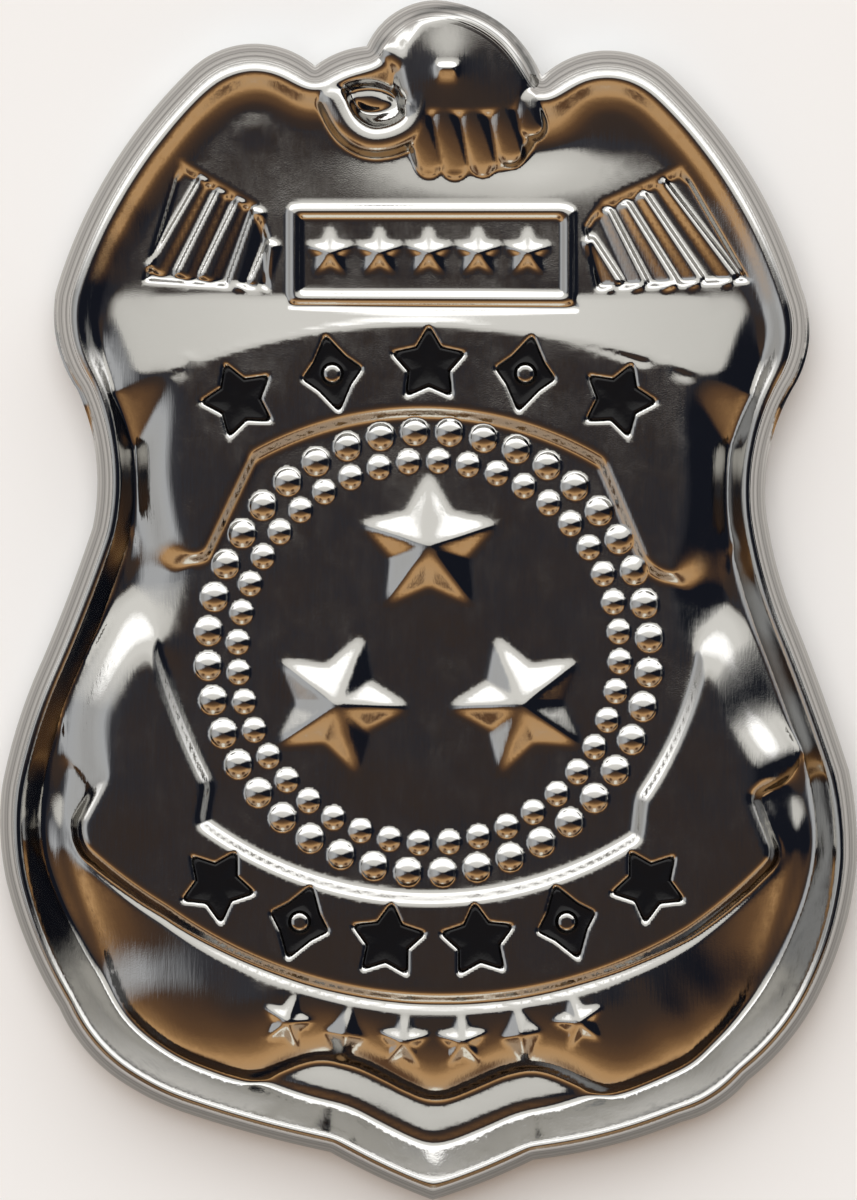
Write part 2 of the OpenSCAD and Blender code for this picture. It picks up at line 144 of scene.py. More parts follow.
# The rim at some heights of the badge, in millimetres. A row is [y, distance of the crest from the edge,
# width of the inner slope, level at its foot].
RIM_ROWS = [
    [-38, 0.85, 1.8, 2.3], [-22, 0.95, 1.6, 2.3], [-10, 1.2, 1.25, 2.3], [10, 1.3, 1.15, 2.35],
    [18, 1.5, 1.2, 3.25], [26, 1.65, 1.35, 3.28], [38, 1.75, 1.6, 3.3],
]
# Share of the outer slope's width and of its height, from the edge to the crest
OUTER_SLOPE = [[0, 0], [0.88, 0.92], [1, 1]]

# Broad soft swellings and dips of the sheet. A row is [x share, y share, half-width, half-height in
# millimetres, turn in degrees, height in millimetres].
SWELLINGS = [
    [0.17, 0.75, 6.4, 1.9, 0, -0.42],
    [0.3, 0.775, 3.6, 1.3, 46, -0.16],
    [-0.41, 0.79, 1.1, 0.8, 20, 0.05],
    [0.5, 0.8, 2.2, 1.2, -40, 0.06],
    [-0.6, 0.1, 2, 4, 0, -0.05],
    [0.66, -0.02, 2, 4, 0, -0.05],
    [-0.64, -0.06, 1.1, 1.6, 20, 0.1],
    [0, 0.1, 9, 6, 0, 0.03],
]
# The steepest slope of a bead, at its edge, in degrees
BEAD_EDGE = 50
# The middle of the medallion, in shares
MEDALLION = (0, -0.087)
# Figures: how far a star's notches lie from its middle, as a share of its points, for the broad and the
# narrow stars, and the radius of the peg in a lozenge as a share of the lozenge's
BROAD_STAR = 0.55
NARROW_STAR = 0.5
LOZENGE_PEG = 0.26
STUD_R = 1.85
# The small stars of the panel: their pitch and height in shares, and their radius
PANEL_STAR_PITCH = 0.115
PANEL_STAR_Y = 0.578
PANEL_STAR_R = 1.6
# The sheet's mesh, in millimetres: the finest and coarsest spacing of its face, how far its level places
# may leave the true form, and the step of its edge
FACE_FINEST = 0.13
FACE_COARSEST = 1.04
FACE_TOLERANCE = 0.0032
EDGE_STEP = 0.22
# How much the spacing grows with the distance from a bend, and how often it is passed on
SPACING_GROWTH = 0.7
GROWTH_PASSES = 18
# The mesh of a bead: each ring's share of the bead's radius with its count of points, and the share
# inside which it takes the place of the face's own
BEAD_RINGS = ((0.28, 8), (0.55, 14), (0.78, 20), (0.93, 24), (1.0, 24), (1.07, 24))
BEAD_CLEAR = 1.12
ENAMEL_SIDES = 80
# What a height of one stands for in the bump of each surface, in metres
PLATE_BUMP = 0.0000058
ENAMEL_BUMP = 0.00001


class BadgeSizes(bpy.types.PropertyGroup):
    """Sizes of the badge, in millimetres"""

    height: FloatProperty(name="Height", description="From the tip to the eagle's head", default=76)
    width: FloatProperty(name="Width", description="Width at the widest place", default=54.4)
    sheet: FloatProperty(name="Sheet", description="Thickness of the pressed sheet", default=0.4)
    skirt_h: FloatProperty(name="Skirt", description="Height of the upright edge", default=2.4)
    crest_h: FloatProperty(name="Crest", description="Height of the rim's crest", default=4.2)
    valley_h: FloatProperty(name="Valley", description="Height of the valley inside the rim", default=2.3)
    field_h: FloatProperty(name="Field", description="Height of the flat field", default=3.3)
    ribbon_rise: FloatProperty(name="Ribbon rise", description="Rise of the ribbons", default=0.65)
    edge_w: FloatProperty(name="Edge width", description="Width of a ribbon's sloped edge", default=0.6)
    relief: FloatProperty(name="Small relief", description="Rise of the panel and feathers", default=0.5)
    place_r: FloatProperty(name="Figure radius", description="Radius of an enamelled figure", default=2.35)
    sunk_d: FloatProperty(name="Figure depth", description="Depth of an enamelled figure", default=0.35)
    enamel_gap: FloatProperty(name="Enamel gap", description="Gap round the enamel", default=0.05)
    star_r: FloatProperty(name="Star radius", description="Radius of a medallion star", default=4.6)
    star_rise: FloatProperty(name="Star rise", description="Rise of a medallion star", default=1.25)
    star_ring_r: FloatProperty(name="Star ring", description="Distance of the stars from the middle",
                               default=6.7)
    beads: IntProperty(name="Beads", description="Beads in each row", default=40)
    outer_row_r: FloatProperty(name="Outer row", description="Radius of the outer row", default=14)
    inner_row_r: FloatProperty(name="Inner row", description="Radius of the inner row", default=12.1)
    outer_bead_r: FloatProperty(name="Outer bead", description="Radius of an outer bead", default=0.88)
    inner_bead_r: FloatProperty(name="Inner bead", description="Radius of an inner bead", default=0.73)
    pitch: FloatProperty(name="Map pitch", description="Pitch of the height map", default=0.08)


class BadgeColours(bpy.types.PropertyGroup):
    """Colours of the badge and its stage"""

    plate: FloatVectorProperty(name="Plate", description="Bright plate", subtype="COLOR", size=3,
                               default=(0.56, 0.55, 0.53), min=0, max=1)
    enamel: FloatVectorProperty(name="Enamel", description="Black enamel", subtype="COLOR", size=3,
                                default=(0.006, 0.006, 0.007), min=0, max=1)
    floor: FloatVectorProperty(name="Floor", description="Pale floor", subtype="COLOR", size=3,
                               default=(0.78, 0.78, 0.78), min=0, max=1)


def sizes():
    return bpy.context.scene.badge_sizes


def at(share):
    """A place in millimetres from its shares of half the width and half the height"""
    return np.array([share[0] * sizes().width / 2, share[1] * sizes().height / 2])


class Outline:
    """A closed line of arcs and straight stretches"""

    def __init__(self, rows):
        self.arcs = []
        for i, row in enumerate(rows):
            p = at(row)
            q = at(rows[(i + 1) % len(rows)])
            bulge = row[2] if len(row) > 2 else 0
            if abs(bulge) < 0.001:
                self.arcs.append((p, q, 0, None))
                continue
            offset = (1 - bulge * bulge) / (4 * bulge) * np.array([p[1] - q[1], q[0] - p[0]])
            self.arcs.append((p, q, bulge, (p + q) / 2 + offset))

    def points(self, step):
        """Points along the line, no further apart than step"""
        found = []
        for p, q, bulge, middle in self.arcs:
            if middle is None:
                steps = max(1, math.ceil(np.linalg.norm(q - p) / step))
                found += [p + (q - p) * s / steps for s in range(steps)]
                continue
            sweep = 4 * math.atan(bulge)
            arm = p - middle
            steps = max(2, math.ceil(abs(sweep) * np.linalg.norm(arm) / step))
            for s in range(steps):
                turn = sweep * s / steps
                found.append(middle + np.array([arm[0] * math.cos(turn) - arm[1] * math.sin(turn),
                                                arm[0] * math.sin(turn) + arm[1] * math.cos(turn)]))
        return np.array(found)

    def distance(self, x, y):
        """Distance from the line"""
        best = np.full(x.shape, 1e3)
        for p, q, bulge, middle in self.arcs:
            ends = np.hypot(x - p[0], y - p[1])
            best = np.minimum(best, ends)
            if middle is None:
                along = q - p
                length = np.linalg.norm(along)
                along = along / length
                share = (x - p[0]) * along[0] + (y - p[1]) * along[1]
                off = np.abs((x - p[0]) * along[1] - (y - p[1]) * along[0])
                best = np.where((share > 0) & (share < length), np.minimum(best, off), best)
                continue
            arm = p - middle
            sweep = 4 * math.atan(bulge)
            turn = np.arctan2(y - middle[1], x - middle[0]) - math.atan2(arm[1], arm[0])
            turn = np.mod(turn * math.copysign(1, sweep), 2 * math.pi)
            off = np.abs(np.hypot(x - middle[0], y - middle[1]) - np.linalg.norm(arm))
            best = np.where(turn < abs(sweep), np.minimum(best, off), best)
        return best


class Relief:
    """Heights over a fine grid that covers the badge, in millimetres"""

    def __init__(self, pitch, margin=0.6):
        self.pitch = pitch
        self.x = np.arange(-sizes().width / 2 - margin, sizes().width / 2 + margin, pitch)
        self.y = np.arange(-sizes().height / 2 - margin, sizes().height / 2 + margin, pitch)
        self.grid_x, self.grid_y = np.meshgrid(self.x, self.y)
        self.shape = self.grid_x.shape

    def window(self, points, reach):
        """The part of the grid within a reach of some points"""
        low = points.min(0) - reach
        high = points.max(0) + reach
        columns = slice(*np.searchsorted(self.x, (low[0], high[0])))
        rows = slice(*np.searchsorted(self.y, (low[1], high[1])))
        return rows, columns

    def offsets(self, place, reach):
        """The part of the grid within a reach of a place, and its distances from it along X and Y"""
        part = self.window(np.array([place]), reach)
        return part, self.grid_x[part] - place[0], self.grid_y[part] - place[1]

    def inside(self, points, part):
        """Which grid places of a part lie inside a closed line of points"""
        after = np.roll(points, -1, axis=0)
        xs = self.x[part[1]]
        found = np.zeros((part[0].stop - part[0].start, len(xs)), bool)
        for row, y in enumerate(self.y[part[0]]):
            crossing = (points[:, 1] <= y) != (after[:, 1] <= y)
            p, q = points[crossing], after[crossing]
            places = np.sort(p[:, 0] + (y - p[:, 1]) / (q[:, 1] - p[:, 1]) * (q[:, 0] - p[:, 0]))
            found[row] = np.searchsorted(places, xs) % 2 == 1
        return found

    def depth(self, rows, reach=3.0):
        """Distance inside an outline, less than zero outside it"""
        outline = Outline(rows)
        points = outline.points(0.3)
        part = self.window(points, reach)
        away = outline.distance(self.grid_x[part], self.grid_y[part])
        found = np.full(self.shape, -reach * 1.0)
        found[part] = np.where(self.inside(points, part), away, np.maximum(-away, -reach))
        return found

    def segment_distance(self, p, q, reach):
        """Distance from a straight line between two points, with its part of the grid"""
        part = self.window(np.array([p, q]), reach)
        x, y = self.grid_x[part], self.grid_y[part]
        along = q - p
        share = ((x - p[0]) * along[0] + (y - p[1]) * along[1]) / (along @ along)
        near = np.clip(share, 0, 1)
        return part, np.hypot(x - p[0] - near * along[0], y - p[1] - near * along[1]), share

    def sample(self, heights, points):
        """Heights at some places, between the grid's own"""
        column = np.clip((points[:, 0] - self.x[0]) / self.pitch, 0, self.shape[1] - 1.001)
        row = np.clip((points[:, 1] - self.y[0]) / self.pitch, 0, self.shape[0] - 1.001)
        c, r = column.astype(int), row.astype(int)
        u, v = column - c, row - r
        return ((1 - u) * (1 - v) * heights[r, c] + u * (1 - v) * heights[r, c + 1]
                + (1 - u) * v * heights[r + 1, c] + u * v * heights[r + 1, c + 1])


def blurred(heights, sigma):
    """Heights smoothed over a sigma given in grid steps"""
    reach = max(1, math.ceil(3 * sigma))
    weights = np.exp(-0.5 * (np.arange(-reach, reach + 1) / sigma) ** 2)
    weights /= weights.sum()
    for axis in (0, 1):
        padded = np.pad(heights, [(reach, reach) if a == axis else (0, 0) for a in (0, 1)], mode="edge")
        count = heights.shape[axis]
        parts = [np.take(padded, range(k, k + count), axis=axis) * w for k, w in enumerate(weights)]
        heights = sum(parts)
    return heights


def smooth_step(value, low, high):
    share = np.clip((value - low) / (high - low), 0, 1)
    return share * share * (3 - 2 * share)


def ray_length(angle, p, q):
    """Length of a ray at an angle up to the line through two points"""
    side = q - p
    return (p[0] * side[1] - p[1] * side[0]) / (np.cos(angle) * side[1] - np.sin(angle) * side[0])


def folded(angle, period):
    """How far an angle is from the nearest point of a figure whose points are a period apart"""
    wedge = np.mod(angle, period)
    return np.minimum(wedge, period - wedge)


def star_radius(angle, inner):
    """Radius of a five-pointed star of radius one, at an angle from one of its points"""
    notch = inner * np.array([math.cos(math.pi / 5), math.sin(math.pi / 5)])
    return ray_length(folded(angle, 2 * math.pi / 5), np.array([1, 0]), notch)


def lozenge_radius(angle):
    """Radius of a lozenge with bowed-in sides of radius one, at an angle from its upper point"""
    wedge = folded(angle, math.pi)
    waist = np.array([0.36, 0.42])
    upper = ray_length(wedge, np.array([1, 0]), waist)
    lower = ray_length(wedge, waist, np.array([0, 0.78]))
    return np.where(wedge < math.atan2(waist[1], waist[0]), upper, lower)


def figure_places(name):
    """Middle, turn in radians and kind of each figure in a row"""
    row = FIGURE_ROWS[name]
    middle = at(row["middle"])
    count = len(row["stars"])
    for i in range(count):
        turn = math.radians((i - (count - 1) / 2) * row["pitch"])
        place = middle + row["radius"] * np.array([math.sin(turn), row["side"] * math.cos(turn)])
        yield place, row["side"] * turn, bool(row["stars"][i])


def figure_ratio(relief, place, turn, radius, is_star, inner=BROAD_STAR):
    """Distance from a figure's middle over the distance to its edge, with its part of the grid"""
    part, x, y = relief.offsets(place, radius * 1.4)
    angle = np.arctan2(-x, y) + turn
    edge = star_radius(angle, inner) if is_star else lozenge_radius(angle)
    return part, np.hypot(x, y) / (radius * edge)


def add_figures(relief, heights, name, radius, rise):
    """Raises a pointed star or lozenge at each place of a row"""
    for place, turn, is_star in figure_places(name):
        part, ratio = figure_ratio(relief, place, turn, radius, is_star, NARROW_STAR)
        heights[part] += rise * np.clip(1 - ratio, 0, 1)


def sink_figures(relief, heights, name):
    """Sinks the places that hold the enamel, with a narrow sloped wall"""
    s = sizes()
    wall = 0.12 / s.place_r
    for place, turn, is_star in figure_places(name):
        part, ratio = figure_ratio(relief, place, turn, s.place_r, is_star)
        sunk = s.sunk_d * np.clip((1 + wall - ratio) / wall, 0, 1)
        if not is_star:
            reach = np.hypot(relief.grid_x[part] - place[0], relief.grid_y[part] - place[1])
            sunk *= np.clip((reach - LOZENGE_PEG * s.place_r) / 0.12 + 0.5, 0, 1)
        heights[part] -= sunk


def base_heights(relief, shield):
    """The rim, the valley and the domed field"""
    s = sizes()
    field = softened(relief, relief.depth(FIELD, 8))
    x, y = relief.grid_x, relief.grid_y
    rows = np.array(RIM_ROWS)
    crest_at, inner_w, foot = [np.interp(y, rows[:, 0], rows[:, k]) for k in (1, 2, 3)]
    outer = np.array(OUTER_SLOPE)
    flat = 0.14
    share = shield / (crest_at - flat)
    outer_rise = np.where(share < 0, share * outer[1, 1] / outer[1, 0], np.interp(share, *outer.T))
    rising = s.skirt_h + (s.crest_h - s.skirt_h) * outer_rise
    share = (shield - crest_at - flat) / inner_w
    falling = s.crest_h - (s.crest_h - foot) * (1.25 * share - 0.25 * np.clip(share, 0, 1) ** 2)
    rim = np.where(shield < crest_at, rising, np.minimum(s.crest_h, falling))
    wing = smooth_step(y, 14, 19)
    start = 4.05 - 0.3 * wing
    slope = (field - start) / 2.6
    domed = s.valley_h + (s.field_h - s.valley_h) * np.interp(slope, [0, 0.4, 1], [0, 0.62, 1])
    domed = np.where(field > start, domed, 0)
    # Towards the tip the field falls to the rim like a dome, ever steeper. Next to the tip it ends
    # early, and a low fold follows the rim's foot.
    low = smooth_step(-y, 14, 24)
    near_tip = smooth_step(-np.abs(x), -13, -6) * smooth_step(-y, 22, 27)
    reach = np.clip((shield - crest_at - inner_w - 0.2 - 3 * near_tip) / (7 - 2 * near_tip), 0, 1)
    tip = s.valley_h - 0.2 + (s.field_h + 0.3 - s.valley_h) * (1 - (1 - reach) ** 3.3)
    tip = tip - 0.009 * np.maximum(np.abs(x) - 9, 0) ** 2 - 0.05 * near_tip * (1 - reach) ** 4
    domed = domed + (np.where(reach > 0, np.maximum(tip, s.valley_h - 1), 0) - domed) * low
    fold = smooth_step(shield, 2.75, 3.25) * (1 - smooth_step(shield, 3.2, 6.4))
    plain = np.where(shield > crest_at + 0.5, foot - 0.9 * low, 0)
    plain = np.where(shield > 1.5, plain + (s.field_h - plain) * wing, plain)
    return np.maximum(rim, np.maximum(plain + (0.34 * fold + 0.2) * near_tip, domed))


def softened(relief, depth):
    """A depth whose lines lose their corners away from the outline"""
    smooth = blurred(depth, 0.75 / relief.pitch)
    return depth + (smooth - depth) * smooth_step(depth, 0.3, 1.6)


def near_rim(relief, shield):
    """One where a ribbon ends in the soft folds next to the rim"""
    return smooth_step(-shield, -6.8, -5.2) * smooth_step(relief.grid_y, -12.5, -9.5)


def ribbon_heights(depth, soft, top):
    """A ribbon's flat top and its sloped edges, soft and wide next to the rim"""
    s = sizes()
    width = s.edge_w + 1.7 * soft
    share = 1 + np.minimum(depth, 0) / width
    profile = np.clip(share, -0.1, 1)
    profile += (smooth_step(share, 0, 1) - profile) * soft
    return np.where(share > -0.1, s.field_h + (top - s.field_h) * profile - 0.7 * soft * (1 - profile), -9)


def ramp_heights(relief):
    """The broad slope from the feathers' ends up to the upper ribbon"""
    s = sizes()
    x, y = relief.grid_x, relief.grid_y
    foot = at((0, 0.505))[1] + 0 * x
    crest = at((0, 0.455))[1] - 0.0105 * x * x
    share = (foot - y) / (foot - crest)
    ends = smooth_step(at((0.76, 0))[0] + 0.3 * (y - crest) - np.abs(x), -1.5, 2.8)
    rise = s.field_h + s.ribbon_rise * np.clip(share, 0, 1) - 1.1 * (1 - ends)
    rise -= 0.22 * np.maximum(crest - y, 0)
    return np.where(share > -0.02, rise, 0)


def curved(points, steps):
    """A smooth line through some points"""
    found = []
    for i in range(len(points) - 1):
        a, b, c, d = [points[min(max(i + k, 0), len(points) - 1)] for k in (-1, 0, 1, 2)]
        for s in range(steps):
            t = s / steps
            cubic = 2 * a - 5 * b + 4 * c - d + t * (3 * b - a - 3 * c + d)
            found.append(b + 0.5 * t * (c - a + t * cubic))
    return found + [points[-1]]


def neck_slope(relief):
    """The neck slopes from the head down to the field, ever steeper"""
    share = np.clip((relief.grid_y - at((0, 0.715))[1]) / 4, 0, 1)
    return sizes().field_h - 0.1 + 0.85 * (1 - (1 - share) ** 1.8)


def eagle_heights(relief, heights):
    """The eagle's head, beak and neck inside the rim"""
    s = sizes()
    crest = s.crest_h
    x, y = relief.grid_x, relief.grid_y
    neck = relief.depth(NECK, 2)
    sloped = neck_slope(relief)
    heights = np.where(neck > -0.5, np.maximum(heights, sloped - 1.2 * np.clip(-neck, 0, 1)), heights)
    # The head is almost flat on top, and the rim's crest goes round it.
    head = relief.depth(HEAD, 4)
    middle = at((0.08, 0.935))
    bowed = ((x - middle[0]) ** 2 + (y - middle[1]) ** 2) / 22
    dome = crest + 0.3 - 0.13 * bowed - 0.9 * np.clip(0.3 - head, 0, 1)
    heights = np.where(head > -0.4, np.maximum(heights, dome), heights)
    eye = at((0.042, 0.875))
    # The eye is a slope that faces the tip, and the head falls softly above it.
    x_off, y_off = x - eye[0], y - eye[1]
    square = smooth_step(-np.maximum(np.abs(x_off), np.abs(y_off)), -0.62, -0.5)
    swelling = smooth_step(y_off, -2, 0.5) * (1 - smooth_step(y_off, 0.5, 3.4)) * np.exp(-(x_off / 1.2) ** 2)
    heights = heights + square * 0.4 * (y_off / 1.1 + 0.5) + 0.13 * swelling
    # The beak curls like a coil from under the mouth up to the head.
    coil = np.zeros(relief.shape)
    line = curved([at(p) for p in COIL], 6)
    for p, q in zip(line, line[1:]):
        part, away, _ = relief.segment_distance(p, q, 1.6)
        coil[part] = np.maximum(coil[part], np.sqrt(np.clip(1 - (away / 1.0) ** 2, 0, 1)))
    mouth = relief.depth(MOUTH, 2)
    heights = heights - 0.55 * np.clip(mouth / 0.5, 0, 1)
    heights = np.where(coil > 0, np.maximum(heights, crest - 0.75 + 0.95 * coil), heights)
    lens = relief.depth(MOUTH_LENS, 2)
    return heights + 0.35 * np.sqrt(np.clip(lens / 0.5 + 0.1, 0, 1))


def feather_heights(relief, heights):
    """Sinks the places of the feathers and raises each feather, bright on top and sloped on one side"""
    for rows in (LEFT_WING_FLOOR, RIGHT_WING_FLOOR):
        depth = relief.depth(rows, 2)
        ends = sorted(rows, key=lambda row: -row[1])[:2]
        part, away, _ = relief.segment_distance(at(ends[0]), at(ends[1]), 1.5)
        width = np.full(relief.shape, 0.3)
        width[part] += 0.55 * np.clip(1.2 - away, 0, 1)
        heights -= 0.38 * np.clip(depth / width, 0, 1)
    for rows, side, section in ((LEFT_FEATHERS, 1, LEFT_SECTION), (RIGHT_FEATHERS, -1, RIGHT_SECTION)):
        for row in rows:
            p, q = at(row[:2]), at(row[2:])
            part, away, share = relief.segment_distance(p, q, 1.5)
            along = (q - p) / np.linalg.norm(q - p)
            across = (relief.grid_x[part] - p[0]) * -along[1] + (relief.grid_y[part] - p[1]) * along[0]
            across = across * side / (0.76 + 0.44 * np.clip(share, 0, 1))
            profile = np.interp(across, *np.transpose(section))
            length = np.linalg.norm(q - p)
            ends = np.clip(np.minimum(share * length - 0.5, (1 - share) * length + 0.25) / 0.25, 0, 1)
            heights[part] += profile * ends


def neck_heights(relief, heights):
    """Round feathers that hang from the head over the neck, each with a round end"""
    raised = np.zeros(relief.shape)
    for row in NECK_FEATHERS:
        part, away, _ = relief.segment_distance(at(row[:2]), at(row[2:]), 1.5)
        raised[part] = np.maximum(raised[part], np.sqrt(np.clip(1 - (away / 0.85) ** 2, 0, 1)))
    tubes = neck_slope(relief) - 0.05 + 0.34 * raised
    return np.where(raised > 0, np.maximum(heights, tubes), heights)


def panel_heights(relief, heights):
    """The panel's frame, a low round bead of metal"""
    s = sizes()
    outer = relief.depth(PANEL, 3)
    inner = relief.depth(PANEL_FLOOR, 2)
    middle = (outer + inner) / 2
    cap = s.field_h + 0.02 + 0.9 * np.maximum(-outer, 0)
    heights = np.where(outer > -1, np.minimum(heights, cap), heights)
    return heights + s.relief * 0.56 * np.sqrt(np.clip(1 - (middle / 0.4) ** 2, 0, 1))


def bead_places():
    """Middle and radius of each bead"""
    s = sizes()
    middle = at(MEDALLION)
    for row_r, bead_r, start in ((s.outer_row_r, s.outer_bead_r, 5.4), (s.inner_row_r, s.inner_bead_r, 2.9)):
        for i in range(s.beads):
            turn = math.radians(start + i * 360 / s.beads)
            yield middle + row_r * np.array([math.sin(turn), math.cos(turn)]), bead_r


def bead_dome(away, bead_r):
    """Height of a bead above the field, at a distance from its middle"""
    ball = bead_r / math.sin(math.radians(BEAD_EDGE))
    inside = np.clip(ball * ball - away * away, 0, None)
    return np.where(away < bead_r, np.sqrt(inside) - ball * math.cos(math.radians(BEAD_EDGE)), 0)


def swell(relief, heights):
    """Adds the broad soft swellings"""
    for row in SWELLINGS:
        place = at(row[:2])
        turn = math.radians(row[4])
        part, x, y = relief.offsets(place, 3 * max(row[2], row[3]))
        u = (x * math.cos(turn) + y * math.sin(turn)) / row[2]
        v = (y * math.cos(turn) - x * math.sin(turn)) / row[3]
        heights[part] += row[5] * np.exp(-0.5 * (u * u + v * v) * 2.2)


def undulation(relief, finer=1):
    """Faint unevenness of a thin pressed sheet"""
    x, y = relief.grid_x * finer, relief.grid_y * finer
    waves = ((0.61, 0.37, 0.4), (-0.43, 0.71, 2.1), (0.97, -0.29, 4.0), (0.21, 1.13, 1.2), (1.31, 0.83, 5.1))
    return sum(np.sin(a * x + b * y + c + 0.8 * np.sin(0.3 * x * b)) / (i + 2)
               for i, (a, b, c) in enumerate(waves))


def face_heights(relief):
    """The height of the badge's face all over, the height of its back's form and the depth from the edge"""
    s = sizes()
    step = relief.pitch
    x, y = relief.grid_x, relief.grid_y
    shield = softened(relief, relief.depth(SHIELD, 8))
    heights = blurred(base_heights(relief, shield), 0.2 / step)
    swollen = heights.copy()
    swell(relief, swollen)
    waves = undulation(relief)
    swollen += 0.012 * waves
    heights += (swollen - heights) * smooth_step(shield, 2.6, 4.5)
    near_tip = smooth_step(shield, 2.8, 3.6) * smooth_step(-y, 19, 25)
    heights += 0.035 * undulation(relief, 1.4) * near_tip
    heights += 0.022 * undulation(relief, 1.9) * smooth_step(shield, 1.6, 2.2) * smooth_step(-shield, -5, -3)
    ribbon_h = s.field_h + s.ribbon_rise
    heights = np.maximum(heights, ramp_heights(relief))
    lower = blurred(relief.depth(LOWER_RIBBON, 3), 0.22 / step)
    upper = blurred(relief.depth(UPPER_RIBBON, 3), 0.15 / step)
    # A small step up under the lower ribbon makes a groove between them.
    middle = at(LOWER_MIDDLE)
    below = np.hypot(x - middle[0], y - middle[1]) > 27.5
    raised = 0.27 * smooth_step(-lower, s.edge_w, s.edge_w + 0.55) * below
    heights += raised * smooth_step(-y, 12, 16) * smooth_step(shield, 2.7, 3.8)
    soft = near_rim(relief, shield)
    tips = smooth_step(np.abs(x), 14.8, 17.6) * smooth_step(y, 13.6, 15.8)
    for depth in (upper, lower):
        depth = depth + (blurred(depth, 0.7 / step) - depth) * soft
        ribbon = ribbon_heights(depth, soft, ribbon_h - 0.9 * s.ribbon_rise * tips)
        heights = np.maximum(heights, ribbon + 0.01 * waves)
    folds = blurred(heights, 0.5 / step) - heights
    heights += folds * soft * smooth_step(shield, 2.5, 3.3)
    heights = eagle_heights(relief, heights)
    heights = blurred(heights, 0.11 / step)
    heights = panel_heights(relief, heights)
    feather_heights(relief, heights)
    heights = neck_heights(relief, heights)
    for name in ENAMEL_ROWS:
        sink_figures(relief, heights, name)
    small = np.zeros(relief.shape)
    add_figures(relief, small, "studs", STUD_R, 1.15 * s.relief)
    for i in range(-2, 3):
        place = at((PANEL_STAR_PITCH * i, PANEL_STAR_Y))
        part, ratio = figure_ratio(relief, place, 0, PANEL_STAR_R, True, NARROW_STAR)
        small[part] += 1.1 * s.relief * np.clip(1 - ratio, 0, 1)
    heights = blurred(heights + blurred(small, 0.1 / step), 0.09 / step)
    heights += star_heights(relief)
    back = heights.copy()
    for place, bead_r in bead_places():
        part, off_x, off_y = relief.offsets(place, bead_r)
        dome = bead_dome(np.hypot(off_x, off_y), bead_r)
        heights[part] += dome
        back[part] += 0.8 * dome
    return heights, back, shield


def star_heights(relief):
    """The three stars of the medallion, with rounded ridges and tips"""
    s = sizes()
    raised = np.zeros(relief.shape)
    for i, turn in enumerate((0, 20, -20)):
        around = math.radians(120 * i)
        place = at(MEDALLION) + s.star_ring_r * np.array([-math.sin(around), math.cos(around)])
        part, ratio = figure_ratio(relief, place, math.radians(turn), s.star_r, True)
        raised[part] += s.star_rise * (1 - np.clip(ratio, 0, 1) ** 1.25)
    raised = blurred(raised * (1 + 0.035 * undulation(relief, 2.8)), 0.22 / relief.pitch)
    return raised * raised / (raised + 0.05)


def lattice(relief, heights, finest, tolerance, coarsest=0.8):
    """Places on nested lattices, closer together where the face bends more, most of all where it is
    almost level, because there a slight turn changes what the metal mirrors"""
    dy, dx = np.gradient(heights, relief.pitch)
    bend = np.sqrt(sum(g * g for d in (dx, dy) for g in np.gradient(d, relief.pitch)))
    bend = blurred(bend, 1.2)
    slope = blurred(np.hypot(dx, dy), 1)
    allowed = np.interp(slope, (0.15, 0.5), (tolerance, 2.2 * tolerance))
    wanted = np.sqrt(8 * allowed / np.maximum(bend, 1e-4))
    # Away from a bend the spacing grows slowly.
    for _ in range(GROWTH_PASSES):
        for axis in (0, 1):
            for shift in (1, -1):
                wanted = np.minimum(wanted, np.roll(wanted, shift, axis) + SPACING_GROWTH * relief.pitch)
    found = []
    step = coarsest
    taken = set()
    while step > finest * 0.99:
        xs = np.arange(math.floor(relief.x[0] / coarsest) * coarsest, relief.x[-1], step)
        ys = np.arange(math.floor(relief.y[0] / coarsest) * coarsest, relief.y[-1], step)
        gx, gy = np.meshgrid(xs, ys)
        places = np.column_stack([gx.ravel(), gy.ravel()])
        if step < coarsest:
            need = relief.sample(wanted, places)
            places = places[need < 1.6 * step]
        for p in places:
            key = (round(p[0] / finest), round(p[1] / finest))
            if key not in taken:
                taken.add(key)
                found.append(p)
        step /= 2
    return np.array(found)


def inset_ring(points, distance):
    """A closed line of points moved inwards"""
    before, after = np.roll(points, 1, axis=0), np.roll(points, -1, axis=0)
    along = after - before
    along /= np.linalg.norm(along, axis=1)[:, None]
    return points + distance * np.column_stack([-along[:, 1], along[:, 0]])


def filled(ring, places, clear):
    """Triangles over the inside of a ring, through the places that lie clear of it"""
    places = places[inside_ring(ring, places)]
    places = places[ring_clear(ring, places, clear)]
    points = np.vstack([ring, places])
    count = len(ring)
    edges = [(i, (i + 1) % count) for i in range(count)]
    out = delaunay_2d_cdt([Vector(p) for p in points], edges, [], 0, 1e-6, False)
    points = np.array([v[:] for v in out[0]])
    tris = np.array([f[:] for f in out[2]])
    kept = inside_ring(ring, points[tris].mean(axis=1))
    return points, [tuple(int(i) for i in f) for f in tris[kept]]


def inside_ring(ring, places):
    """Which places lie inside a closed line of points"""
    after = np.roll(ring, -1, axis=0)
    found = np.zeros(len(places), bool)
    for p, q in zip(ring, after):
        if p[1] == q[1]:
            continue
        crossed = (p[1] <= places[:, 1]) != (q[1] <= places[:, 1])
        found ^= crossed & (places[:, 0] < p[0] + (places[:, 1] - p[1]) / (q[1] - p[1]) * (q[0] - p[0]))
    return found


def ring_clear(ring, places, clear):
    """Which places lie further than a distance from every point of a ring"""
    taken = set()
    for p in ring:
        c, r = math.floor(p[0] / clear), math.floor(p[1] / clear)
        taken.update((c + i, r + j) for i in (-1, 0, 1) for j in (-1, 0, 1))
    return np.array([(math.floor(p[0] / clear), math.floor(p[1] / clear)) not in taken for p in places])


